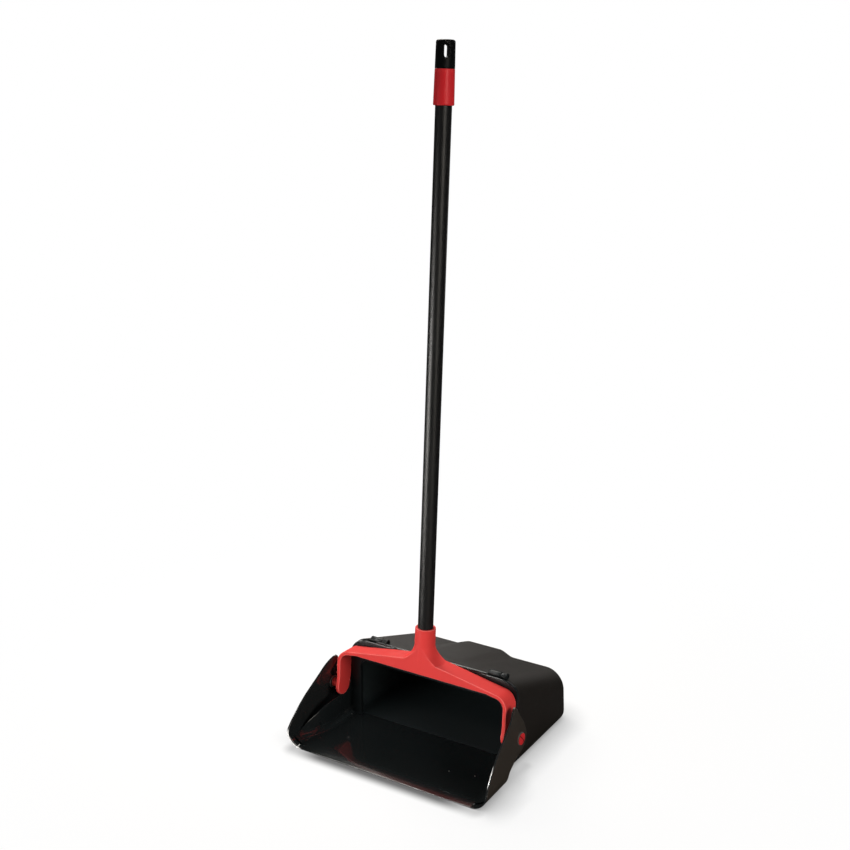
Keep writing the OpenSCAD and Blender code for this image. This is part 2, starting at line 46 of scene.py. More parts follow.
class Wire:  # one socket in a material, with maths written as plain expressions
    def __init__(self, tree, socket=None):
        self.tree = tree
        self.socket = socket

    def add(self, kind, settings=None, sockets=None, out=0):
        node = self.tree.nodes.new(kind)
        for key, value in (settings or {}).items():
            setattr(node, key, value)
        for key, value in (sockets or {}).items():
            if isinstance(value, Wire):
                self.tree.links.new(value.socket, node.inputs[key])
            else:
                node.inputs[key].default_value = value
        return Wire(self.tree, node.outputs[out])

    def maths(self, operation, first, second=0.0):
        return self.add("ShaderNodeMath", {"operation": operation}, {0: first, 1: second})

    def __add__(self, other):
        return self.maths("ADD", self, other)

    def __radd__(self, other):
        return self.maths("ADD", other, self)

    def __sub__(self, other):
        return self.maths("SUBTRACT", self, other)

    def __rsub__(self, other):
        return self.maths("SUBTRACT", other, self)

    def __mul__(self, other):
        return self.maths("MULTIPLY", self, other)

    def __rmul__(self, other):
        return self.maths("MULTIPLY", other, self)

    def __pow__(self, other):
        return self.maths("POWER", self, other)

    def __lt__(self, other):
        return self.maths("LESS_THAN", self, other)

    def __gt__(self, other):
        return self.maths("GREATER_THAN", self, other)

    def size(self):  # the value without its sign
        return self.maths("ABSOLUTE", self)

    def atLeast(self, other):
        return self.maths("MAXIMUM", self, other)

    def along(self, axis):  # one coordinate of a place or direction
        return self.add("ShaderNodeSeparateXYZ", {}, {0: self}, axis)

    def ease(self, low, high):  # soft step from 0 at low to 1 at high
        return self.add("ShaderNodeMapRange", {"interpolation_type": "SMOOTHSTEP"},
                        {"Value": self, "From Min": low, "From Max": high})

    def band(self, low, high, highEnd, lowEnd):  # soft step up, then soft step down
        return self.ease(low, high) * (1.0 - self.ease(highEnd, lowEnd))

    def noise(self, size, detail=3.0, rough=0.5, stretch=None):  # self holds a place in millimetres
        place = self
        if stretch is not None:
            place = self.add("ShaderNodeVectorMath", {"operation": "MULTIPLY"}, {0: self, 1: stretch})
        return self.add("ShaderNodeTexNoise", {}, {"Vector": place, "Scale": 1.0 / size, "Detail": detail,
                                                   "Roughness": rough})

    def tint(self, first, second):  # colour between two, self is the share of the second
        return self.add("ShaderNodeMix", {"data_type": "RGBA"}, {0: self, 6: first, 7: second}, 2)

    def bump(self, strength, edge=None):  # self holds a height in millimetres
        sockets = {"Height": self, "Strength": strength, "Distance": mm}
        if edge is not None:
            sockets["Normal"] = edge
        return self.add("ShaderNodeBump", {}, sockets)

    def crest(self, low, high):  # 1 on outward edges
        return self.add("ShaderNodeNewGeometry", {}, {}, "Pointiness").ease(low, high)

    def rounded(self, radius):  # direction with the edges rounded by a few tenths of a millimetre
        return self.add("ShaderNodeBevel", {"samples": 6}, {"Radius": radius * mm})


def newFinish(name):  # an empty material and the place on the piece in millimetres
    finish = bpy.data.materials.new(name)
    finish.use_nodes = True
    finish.node_tree.nodes.clear()
    start = Wire(finish.node_tree)
    place = start.add("ShaderNodeTexCoord", {}, {}, "Object")
    place = place.add("ShaderNodeVectorMath", {"operation": "SCALE"}, {0: place, "Scale": 1.0 / mm})
    return finish, place


def closeFinish(finish, shader):
    output = finish.node_tree.nodes.new("ShaderNodeOutputMaterial")
    finish.node_tree.links.new(shader.socket, output.inputs["Surface"])
    return finish


def closePlastic(finish, base, rough, bump, ior):
    sockets = {"Base Color": base, "Roughness": rough, "Normal": bump, "IOR": ior}
    return closeFinish(finish, base.add("ShaderNodeBsdfPrincipled", {}, sockets))


def colour(red, green, blue):
    return (red, green, blue, 1.0)


# Gloss black inside the pan

# in this set the cheek and far tones are painted light, and the ridge and rim colours are painted highlights
glossBlackSet = {"dark": colour(0.0072, 0.0090, 0.0094), "light": colour(0.0098, 0.0116, 0.0118),
                 "cheek": colour(0.0120, 0.0130, 0.0128), "far": colour(0.0175, 0.0218, 0.0226),
                 "ridgeHighlight": colour(0.200, 0.165, 0.105), "rimGlint": colour(0.93, 0.93, 0.91),
                 "dust": colour(0.30, 0.29, 0.27), "dustShare": 0.8,
                 "rough": 0.075, "scuff": 0.16, "ior": 1.49, "bump": 0.35,
                 "cloudSize": 46.0, "patchSize": 30.0, "waveSize": 55.0,
                 "scratchSize": 1.3, "scratchRun": (1.0, 0.03, 1.0),
                 "cellScale": 0.055, "cellSpeck": 0.022, "cellShare": 0.62, "speckSize": 1.0,
                 "specks": ((-135.0, -30.5, 3.0), (73.0, -89.5, 3.0), (110.0, -81.5, 3.0)),
                 "cheekHeight": (8.0, 40.0), "cheekAside": (146.0, 149.0),
                 "farDeep": (-125.0, -40.0), "floorTop": (4.0, 9.0),
                 "ridgeHeight": (17.0, 22.0, 41.0, 44.0), "ridgeAside": (141.0, 144.0, 157.0, 160.0),
                 "ridgeDeep": (-120.0, -112.0, -100.0, -92.0)}
# painted glint on the rim at the lip corners: on the right its inner half, in a plane that leans and tapers
# with the cheek
rimGlintSet = {"taper": 0.028, "lean": 0.0875, "leanFrom": 25.0, "innerHalf": (164.4, 165.4),
           "rightHeight": (31.0, 37.0, 49.0, 56.0), "rightAcross": (140.0, 145.0),
           "rightDeep": (-122.0, -116.0), "leftHeight": (20.0, 27.0), "leftAcross": (-146.0, -140.0),
           "leftDeep": (-147.0, -145.5), "facing": (0.10, 0.28)}


# mask of the painted glint: where the rim at the lip corners is painted bright
def paintedRimGlint(place, across, deep, height):
    plane = across.size() + (deep - lipShift) * rimGlintSet["taper"]
    plane = plane + (height - rimGlintSet["leanFrom"]) * rimGlintSet["lean"]
    right = (1.0 - plane.ease(*rimGlintSet["innerHalf"])) * height.band(*rimGlintSet["rightHeight"])
    right = right * across.ease(*rimGlintSet["rightAcross"]) * (1.0 - deep.ease(*rimGlintSet["rightDeep"]))
    left = (1.0 - across.ease(*rimGlintSet["leftAcross"])) * (1.0 - height.ease(*rimGlintSet["leftHeight"]))
    left = left * (1.0 - deep.ease(*rimGlintSet["leftDeep"]))
    facing = 0.0 - place.add("ShaderNodeNewGeometry", {}, {}, "Normal").along(1)
    return facing.ease(*rimGlintSet["facing"]) * (right + left)


def glossBlack():
    settings = glossBlackSet
    finish, place = newFinish("panGlossBlack")
    across, deep, height = [place.along(axis) for axis in range(3)]
    aside = across.size()
    cloud = place.noise(settings["cloudSize"])
    scratch = place.noise(settings["scratchSize"], 2.0, 0.6, settings["scratchRun"]).ease(0.63, 0.74)
    patch = place.noise(settings["patchSize"], 2.0).ease(0.45, 0.70)
    scratch = scratch * patch  # fine scratches along the sweep, in patches
    cells = {"Vector": place, "Scale": settings["cellScale"]}
    middle = place.add("ShaderNodeTexVoronoi", {}, cells, "Position")
    pick = place.add("ShaderNodeTexWhiteNoise", {}, {"Vector": middle})
    speck = place.add("ShaderNodeTexVoronoi", {}, cells) < settings["cellSpeck"]
    speck = speck * (pick > settings["cellShare"])
    for spot in settings["specks"]:
        away = place.add("ShaderNodeVectorMath", {"operation": "DISTANCE"}, {0: place, 1: spot}, 1)
        speck = speck.atLeast(away < settings["speckSize"])
    base = cloud.tint(settings["dark"], settings["light"])
    cheek = height.ease(*settings["cheekHeight"]) * aside.ease(*settings["cheekAside"])
    base = cheek.tint(base, settings["cheek"])  # painted light: the cheeks are painted a shade paler than the floor, standing in for light they lack
    far = deep.ease(*settings["farDeep"]) * (1.0 - height.ease(*settings["floorTop"]))
    base = far.tint(base, settings["far"])  # painted light: the floor is painted paler inwards, standing in for light it lacks there
    ridgeHighlight = place.crest(0.53, 0.60) * height.band(*settings["ridgeHeight"])
    ridgeHighlight = ridgeHighlight * aside.band(*settings["ridgeAside"]) * deep.band(*settings["ridgeDeep"])
    base = ridgeHighlight.tint(base, settings["ridgeHighlight"])  # painted highlight along the crest of the low inner walls
    rimGlint = paintedRimGlint(place, across, deep, height)
    base = rimGlint.tint(base, settings["rimGlint"])  # painted glint: the rim is painted bright at the lip corners
    base = (speck * settings["dustShare"]).tint(base, settings["dust"])
    rough = settings["rough"] + cloud * 0.03 + scratch * settings["scuff"] + speck * 0.4
    relief = place.noise(settings["waveSize"], 1.0) * 0.12 + scratch * 0.004 + speck * 0.15
    return closePlastic(finish, base, rough, relief.bump(settings["bump"]), settings["ior"])


# Satin and dull blacks with a fine spark-eroded grain

# the satin's crest colour is a painted highlight along outward edges
satinBlackSet = {"dark": colour(0.0220, 0.0176, 0.0134), "light": colour(0.0310, 0.0252, 0.0196),
                 "crest": colour(0.150, 0.145, 0.130), "rough": 0.42, "grain": 0.55, "ior": 1.46}
hoodBlackSet = {"dark": colour(0.0082, 0.0068, 0.0052), "light": colour(0.0124, 0.0104, 0.0084),
                "rough": 0.50, "grain": 0.8, "ior": 1.46}
dullBlackSet = {"dark": colour(0.0265, 0.0355, 0.0372), "light": colour(0.0330, 0.0437, 0.0454),
                "low": colour(0.0250, 0.0335, 0.0352), "lowHeight": (3.0, 16.0),
                "rough": 0.55, "grain": 0.7, "ior": 1.34}
wallBlackSet = {"dark": colour(0.0052, 0.0068, 0.0072), "light": colour(0.0068, 0.0086, 0.0090),
                "rough": 0.34, "grain": 0.7, "ior": 1.32}
capBlackSet = {"dark": colour(0.0012, 0.0015, 0.0015), "light": colour(0.0024, 0.0026, 0.0025),
               "rough": 0.46, "grain": 0.6, "ior": 1.30}
grainSet = {"cloudSize": 60.0, "rubSize": 9.0, "rubRun": (1.0, 0.35, 1.0), "crestShare": 0.7, "bump": 0.55}


def grainBlack(name, settings):
    finish, place = newFinish(name)
    cloud = place.noise(grainSet["cloudSize"], 4.0)
    grain = place.noise(settings["grain"], 3.0, 0.6)
    rub = place.noise(grainSet["rubSize"], 3.0, 0.65, grainSet["rubRun"]).ease(0.58, 0.80)
    base = (cloud * 0.6 + grain * 0.4).tint(settings["dark"], settings["light"])
    if "low" in settings:  # painted light: the floor inside has a tone of its own, tuned to the light there, a little darker than the walls
        base = (1.0 - place.along(2).ease(*settings["lowHeight"])).tint(base, settings["low"])
    if "crest" in settings:  # painted highlight: outward edges are painted paler
        base = (place.crest(0.515, 0.58) * grainSet["crestShare"]).tint(base, settings["crest"])
    rough = settings["rough"] + (grain - 0.5) * 0.16 + (cloud - 0.5) * 0.06 - rub * 0.05
    relief = grain * 0.05 + cloud * 0.10
    return closePlastic(finish, base, rough, relief.bump(grainSet["bump"]), settings["ior"])


# Moulded reds

# each red's edge colour is a painted highlight along outward edges
yokeRedSet = {"deep": colour(0.560, 0.037, 0.034), "bright": colour(0.620, 0.044, 0.040),
              "edge": colour(0.900, 0.260, 0.235), "rub": 0.5, "peel": 0.03, "rough": 0.52, "ior": 1.27}
pinRedSet = {"deep": colour(0.470, 0.012, 0.016), "bright": colour(0.540, 0.016, 0.020),
             "edge": colour(0.640, 0.060, 0.060), "rub": 0.2, "peel": 0.03, "rough": 0.42, "ior": 1.42,
             "collar": colour(0.860, 0.060, 0.056), "headFrom": (158.0, 162.0),
             "split": colour(0.130, 0.006, 0.008), "splitHalf": (0.45, 0.8), "turn": 40.0,
             "axisDeep": -44.5, "axisHeight": 58.6}
gripRedSet = {"deep": colour(0.480, 0.013, 0.017), "bright": colour(0.550, 0.017, 0.021),
              "edge": colour(0.600, 0.060, 0.060), "rub": 0.12, "peel": 0.02, "rough": 0.37, "ior": 1.42}
redSet = {"cloudSize": 38.0, "fleckSize": 0.9, "scuffSize": 2.2, "scuffRun": (0.25, 1.0, 1.0), "round": 0.7,
          "bump": 0.4}


def mouldedRed(name, settings):
    finish, place = newFinish(name)
    cloud = place.noise(redSet["cloudSize"])
    fleck = place.noise(redSet["fleckSize"], 2.0, 0.6)
    scuff = place.noise(redSet["scuffSize"], 3.0, 0.7, redSet["scuffRun"]).ease(0.66, 0.80)
    base = (cloud * 0.75 + fleck * 0.25).tint(settings["deep"], settings["bright"])
    base = (place.crest(0.508, 0.56) * settings["rub"]).tint(base, settings["edge"])  # painted highlight: outward edges are painted paler
    if "split" in settings:  # painted light: the collar inside is painted brighter, and painted shade darkens the split across the head
        turn = math.radians(settings["turn"])
        deep = place.along(1) - settings["axisDeep"]
        high = place.along(2) - settings["axisHeight"]
        split = 1.0 - (deep * math.cos(turn) + high * math.sin(turn)).size().ease(*settings["splitHalf"])
        head = place.along(0).size().ease(*settings["headFrom"])
        base = head.tint(settings["collar"], base)
        base = (split * head).tint(base, settings["split"])
    rough = settings["rough"] + (cloud - 0.5) * 0.10 + scuff * 0.10
    relief = cloud * 0.15 + fleck * settings["peel"]
    bump = relief.bump(redSet["bump"], place.rounded(redSet["round"]))
    return closePlastic(finish, base, rough, bump, settings["ior"])


# Tube coat and pin steel

tubeCoatSet = {"dark": colour(0.0040, 0.0043, 0.0042), "light": colour(0.0068, 0.0066, 0.0062),
               "rough": 0.42, "ior": 1.50, "cloudSize": 24.0, "cloudRun": (1.0, 1.0, 0.12), "rubSize": 3.0,
               "rubRun": (1.0, 1.0, 0.25), "peelSize": 0.8, "peel": 0.025, "bump": 0.45, "round": 0.5}
steelSet = {"dark": colour(0.34, 0.34, 0.345), "light": colour(0.52, 0.52, 0.525), "rough": 0.34,
            "lineSize": 0.5, "lineRun": (0.3, 1.0, 1.0), "bump": 0.5}


def coatedTube():
    settings = tubeCoatSet
    finish, place = newFinish("tubeCoat")
    cloud = place.noise(settings["cloudSize"], 3.0, 0.5, settings["cloudRun"])
    rub = place.noise(settings["rubSize"], 3.0, 0.7, settings["rubRun"]).ease(0.66, 0.82)
    base = (cloud * 0.7 + rub * 0.3).tint(settings["dark"], settings["light"])
    rough = settings["rough"] + (cloud - 0.5) * 0.08 + rub * 0.06
    relief = place.noise(settings["peelSize"], 2.0, 0.55) * settings["peel"]
    bump = relief.bump(settings["bump"], place.rounded(settings["round"]))
    return closePlastic(finish, base, rough, bump, settings["ior"])


def turnedSteel():
    settings = steelSet
    finish, place = newFinish("pinSteel")
    lines = place.noise(settings["lineSize"], 3.0, 0.6, settings["lineRun"])
    sockets = {"Base Color": lines.tint(settings["dark"], settings["light"]), "Metallic": 1.0,
               "Roughness": settings["rough"] + lines * 0.1, "Normal": (lines * 0.02).bump(settings["bump"])}
    return closeFinish(finish, place.add("ShaderNodeBsdfPrincipled", {}, sockets))


panWall = grainBlack("panWallBlack", wallBlackSet)
panFinishes = [glossBlack(), grainBlack("panSatinBlack", satinBlackSet), panWall]
gloss, satin, dull = range(3)  # places in panFinishes
hoodFinishes = [grainBlack("hoodGrainBlack", hoodBlackSet), grainBlack("hoodInsideBlack", dullBlackSet),
                panWall]
hoodOuter, hoodInner, hoodDull = range(3)  # places in hoodFinishes
capSatin = grainBlack("capSatinBlack", capBlackSet)
yokeRed = mouldedRed("yokeRed", yokeRedSet)
pinRed = mouldedRed("pinRed", pinRedSet)
gripRed = mouldedRed("gripRed", gripRedSet)
tubeCoat = coatedTube()
pinSteel = turnedSteel()
print("finishes made")


# Mesh making

def inFrame(points):  # millimetres counted from the lip to metres in the part's frame
    placed = np.array(points, float)
    placed[..., 1] += lipShift
    return placed * mm


def newCast():
    return {"points": [], "faces": [], "finish": []}


def addSheet(cast, rows, finish=0, wrap=False, ends=False):
    rows = np.array(rows, float)
    count, width = rows.shape[:2]
    base = len(cast["points"])
    cast["points"].extend(map(tuple, rows.reshape(-1, 3)))
    for i in range(count - 1):
        for j in range(width if wrap else width - 1):
            near = base + i * width + j
            side = base + i * width + (j + 1) % width
            cast["faces"].append((near, side, side + width, near + width))
            cast["finish"].append(finish(i, j) if callable(finish) else finish)
    if ends:
        last = base + (count - 1) * width
        cast["faces"] += [tuple(range(base, base + width)), tuple(range(last, last + width))]
        cast["finish"] += [finish(0, 0) if callable(finish) else finish] * 2


def addBar(cast, start, profile, finish=0, turns=40, sign=1.0, closed=False):
    # turned piece along X: profile of (distance from start, radius)
    angles = np.linspace(0, 2 * math.pi, turns, endpoint=False)
    rows = []
    for along, radius in profile:
        x = start[0] + sign * along
        rows.append([(x, start[1] + radius * math.cos(a), start[2] + radius * math.sin(a)) for a in angles])
    if closed:
        rows.append(rows[0])
    addSheet(cast, rows, finish, wrap=True, ends=not closed)


def castPiece(cast, name, finishes, sharp=38.0):
    mesh = bpy.data.meshes.new(name)
    mesh.from_pydata(inFrame(cast["points"]).tolist(), [], cast["faces"])
    for finish in finishes:
        mesh.materials.append(finish)
    mesh.polygons.foreach_set("material_index", cast["finish"])
    edit = bmesh.new()
    edit.from_mesh(mesh)
    bmesh.ops.remove_doubles(edit, verts=edit.verts, dist=1e-6)
    bmesh.ops.recalc_face_normals(edit, faces=edit.faces)
    edit.to_mesh(mesh)
    edit.free()
    mesh.shade_smooth()
    mesh.set_sharp_from_angle(angle=math.radians(sharp))
    piece = bpy.data.objects.new(name, mesh)
    scene.collection.objects.link(piece)
    return piece


def settle(piece, sharp=None):  # bakes the modifiers into the mesh
    bpy.context.view_layer.update()
    shaped = bpy.data.meshes.new_from_object(piece.evaluated_get(bpy.context.evaluated_depsgraph_get()))
    piece.modifiers.clear()
    piece.data = shaped
    if sharp is not None:
        shaped.shade_smooth()
        shaped.set_sharp_from_angle(angle=math.radians(sharp))


def cutAway(piece, cutters, sharp=38.0):
    for cutter in cutters:
        cut = piece.modifiers.new("cut", "BOOLEAN")
        cut.operation = "DIFFERENCE"
        cut.solver = "EXACT"
        cut.object = cutter
    settle(piece, sharp)
    for cutter in cutters:
        bpy.data.objects.remove(cutter)
    return piece


def gather(name, pieces):  # castings of one moulding become one piece, all with the same list of finishes
    edit = bmesh.new()
    for piece in pieces:
        edit.from_mesh(piece.data)
    whole = bpy.data.meshes.new(name)
    edit.to_mesh(whole)
    edit.free()
    for finish in pieces[0].data.materials:
        whole.materials.append(finish)
    for piece in pieces:
        bpy.data.objects.remove(piece)
    kept = bpy.data.objects.new(name, whole)
    scene.collection.objects.link(kept)
    return kept


def roundedCopy(node, name, settings, finish):  # a solid's edges and inside corners, rounded by a fine remesh
    piece = bpy.data.objects.new(name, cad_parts[node].data.copy())
    scene.collection.objects.link(piece)
    remesh = piece.modifiers.new("remesh", "REMESH")
    remesh.mode = "VOXEL"
    remesh.voxel_size = settings["voxel"] * mm
    soften = piece.modifiers.new("soften", "SMOOTH")
    soften.factor = 0.5
    soften.iterations = settings["rounds"]
    settle(piece)
    piece.data.materials.clear()
    piece.data.materials.append(finish)
    piece.data.shade_smooth()
    return piece


def slope(degrees):
    return math.tan(math.radians(degrees))


def cosOf(degrees):
    return math.cos(math.radians(degrees))


def sinOf(degrees):
    return math.sin(math.radians(degrees))


def soft(t):  # soft step from 0 to 1
    t = min(1.0, max(0.0, t))
    return t * t * (3 - 2 * t)


def softAfter(value, start, run):
    return soft((value - start) / run)


def arc(centre, radius, first, last, count):
    angles = np.linspace(first, last, count)
    return [(centre[0] + radius * cosOf(a), centre[1] + radius * sinOf(a)) for a in angles]


def line(first, last, count):
    first, last = np.array(first), np.array(last)
    return [tuple(first + (last - first) * t) for t in np.linspace(0, 1, count)]


def mirrored(ring):  # a right half from the floor's middle to the top's, closed by its mirror image
    return ring + [(-x, y, z) for x, y, z in reversed(ring[1:-1])]


# Rear hood

hoodSet = {"front": 131.8, "back": 297.0, "half": 145.5, "wall": 2.6, "lean": 2.6, "taper": 0.6,
           "height": 128.2, "roof": 19.0, "shoulder": 30.0, "foot": 14.0, "corner": 26.0, "rearRound": 12.0,
           "crownStart": 150.0, "crownSlope": 16.0, "crownHalf": 27.0, "crownFlank": 25.0,
           "rim": (0.3, 0.8)}
hingeSet = {"y": 134.2, "z": 128.6, "radius": 4.75, "length": 20.0, "starts": (-106.85, 93.65), "lug": 9.0,
            "gap": 0.4, "clear": 0.7, "bore": 2.05}
ringSteps = {"floor": 14, "foot": 10, "wall": 10, "bend": 18, "roof": 40, "crownFrom": 50}


def crownRise(x, y):
    rise = max(0.0, y - hoodSet["crownStart"]) * (slope(hoodSet["roof"]) - slope(hoodSet["crownSlope"]))
    return rise * (1 - softAfter(abs(x), hoodSet["crownHalf"], hoodSet["crownFlank"]))


def hoodRing(y, inset, roofZ, crowned=True):
    # closed section at a depth: floor, foot, wall, shoulder and roof
    half = hoodSet["half"] - (y - hoodSet["front"]) * slope(hoodSet["taper"]) - inset
    lean = hoodSet["lean"]
    foot = hoodSet["foot"] - inset
    bend = hoodSet["shoulder"] - inset
    footX = half - (inset + foot) * slope(lean) - foot / cosOf(lean)
    top = roofZ - inset / cosOf(hoodSet["roof"])
    bendX = half - (top - bend) * slope(lean) - bend / cosOf(lean)
    side = line((0, inset), (footX, inset), ringSteps["floor"])[:-1]
    side += arc((footX, inset + foot), foot, -90, lean, ringSteps["foot"])
    wallTop = (bendX + bend * cosOf(lean), top - bend + bend * sinOf(lean))
    side += line(side[-1], wallTop, ringSteps["wall"])[1:]
    side += arc((bendX, top - bend), bend, lean, 90, ringSteps["bend"])[1:]
    side += line((bendX, top), (0, top), ringSteps["roof"])[1:]
    ring = []
    for index, (x, z) in enumerate(side):
        rise = crownRise(x, y) if crowned and index > ringSteps["crownFrom"] else 0.0
        ring.append((x, y, z + rise))
    return mirrored(ring)


def roundIn(radius, past):  # how far a quarter round draws in, past its start
    return radius - math.sqrt(max(0.0, radius ** 2 - max(0.0, past) ** 2))


def hoodStation(y, inset):
    back = hoodSet["back"] - inset
    corner = hoodSet["corner"] - inset
    tight = hoodSet["rearRound"]
    ring = np.array(hoodRing(y, inset, hoodSet["height"] - (y - hoodSet["front"]) * slope(hoodSet["roof"])))
    ring[:, 0] *= 1 - roundIn(corner, y - back + corner) / np.abs(ring[:, 0]).max()
    low, high = ring[:, 2].min(), ring[:, 2].max()
    middle = (low + high) / 2
    ring[:, 2] = middle + (ring[:, 2] - middle) * (1 - roundIn(tight, y - back + tight) / (high - middle))
    return ring


def hoodDepths(inset):
    end = hoodSet["back"] - inset
    corner = hoodSet["corner"]
    straight = np.linspace(hoodSet["front"] + 1.0, end - corner, 26)
    bend = end - corner + corner * np.sin(np.linspace(0, math.pi / 2, 22))[1:]
    return list(straight) + list(bend)


def makeHood():
    wall = hoodSet["wall"]
    rows = [hoodStation(y, 0.0) for y in reversed(hoodDepths(0.0))]
    near, far = hoodSet["rim"]  # how far the rim's edges are broken
    for inset, y in ((near, near), (far, 0.0), (wall - far, 0.0), (wall - near, near)):
        rows.append(hoodStation(hoodSet["front"] + y, inset))
    outside = len(rows) - 2
    rows += [hoodStation(y, wall) for y in hoodDepths(wall)]
    shell = newCast()
    addSheet(shell, rows, lambda i, j: hoodOuter if i < outside else hoodInner, wrap=True, ends=True)
    body = castPiece(shell, "hoodShell", hoodFinishes)
    length, gap, reach = hingeSet["length"], hingeSet["gap"], hingeSet["lug"]
    cutters = []
    lugs = newCast()
    for start in hingeSet["starts"]:
        notch = newCast()
        radius = hingeSet["radius"] + hingeSet["clear"]
        bar = [(0, radius), (length + 2 * gap, radius)]
        addBar(notch, (start - gap, hingeSet["y"], hingeSet["z"]), bar, turns=48)
        cutters.append(castPiece(notch, "hoodNotch", hoodFinishes[:1]))
        addBar(lugs, (start + length + gap, hingeSet["y"], hingeSet["z"]),
               [(0, 3.4), (0, 3.9), (0.5, 4.35), (reach - 3.0, 4.35), (reach - 2.6, 4.6), (reach - 2.3, 5.0),
                (reach - 0.6, 5.0), (reach - 0.2, 4.7), (reach, 4.2), (reach, 2.6), (reach - 0.8, 2.4)],
               hoodDull)
    cutAway(body, cutters)
    return gather("rearHood", [body, castPiece(lugs, "hoodLugs", hoodFinishes)])


rearHood = makeHood()
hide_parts("hood")
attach(rearHood, "rear_hood")
print("hood made")


# Front pan: scoop

# the edges of the cheeks are pairs of height and depth
panSet = {"half": 166.5, "radius": 25.0, "lean": 5.0, "taper": 1.6, "wall": 3.0, "top": 103.5,
          "lipEdge": 1.0, "lipRun": 15.0, "lipHeight": (5.0, 22.0), "satinFrom": 22.0,
          "frontEdge": ((0, 0), (20, 0), (24, 1.5), (34, 8.5), (52, 25.5), (63.5, 39), (73.5, 54),
                        (85.5, 72.5), (97, 88), (101, 93.5), (102.8, 97), (103.5, 100)),
          "rearEdge": ((0, 64), (22, 64), (27, 67), (37.7, 90), (40.6, 104), (43.2, 111), (46.8, 116.2),
                       (51.5, 119.9), (58.6, 122), (63.5, 121.5), (67.6, 119.7), (76, 117), (87, 112),
                       (97, 108), (101, 105.6), (103, 102.6), (103.5, 100.8)),
          "floorBack": ((131, 141.5), (131.3, 64.0)), "floorFlat": 128, "floorSide": (131, 134, 137, 139.5),
          "edgeBlur": 1.8, "curl": 4.6, "curlHeight": (72, 32), "curlDepth": (78, 27),
          "innerWall": 42.4, "wallStart": 53.0}
earSet = {"y": 104.0, "z": 58.6, "inside": 156.63, "outside": 161.68, "radius": 9.4, "hole": 4.66,
          "break": 0.4}


def follow(edge, z):  # depth of an edge at a height, with its bends eased
    heights, depths = zip(*edge)
    steps = np.linspace(-panSet["edgeBlur"], panSet["edgeBlur"], 9)
    return sum(np.interp(z + step, heights, depths) for step in steps) / len(steps)


def narrowing(y):  # the pan gets narrower towards the rear
    return (panSet["half"] - y * slope(panSet["taper"])) / panSet["half"]


def scoopSide():
    # right half of the scoop section, from the floor's middle to the cheek's top: place and outward direction
    lean, radius = panSet["lean"], panSet["radius"]
    centreX = panSet["half"] - radius / cosOf(lean)
    flat = list(np.linspace(0, panSet["floorFlat"], 20)) + list(panSet["floorSide"])
    side = [(x, 0.0, 0.0, -1.0) for x in flat]
    for a in np.linspace(-90, lean, 22):
        side.append((centreX + radius * cosOf(a), radius + radius * sinOf(a), cosOf(a), sinOf(a)))
    footX, footZ = side[-1][:2]
    climb = (panSet["top"] - footZ) / cosOf(lean)
    for t in np.sin(np.linspace(0, math.pi / 2, 44))[1:]:
        x, z = footX - climb * t * sinOf(lean), footZ + climb * t * cosOf(lean)
        side.append((x, z, cosOf(lean), sinOf(lean)))
    return side


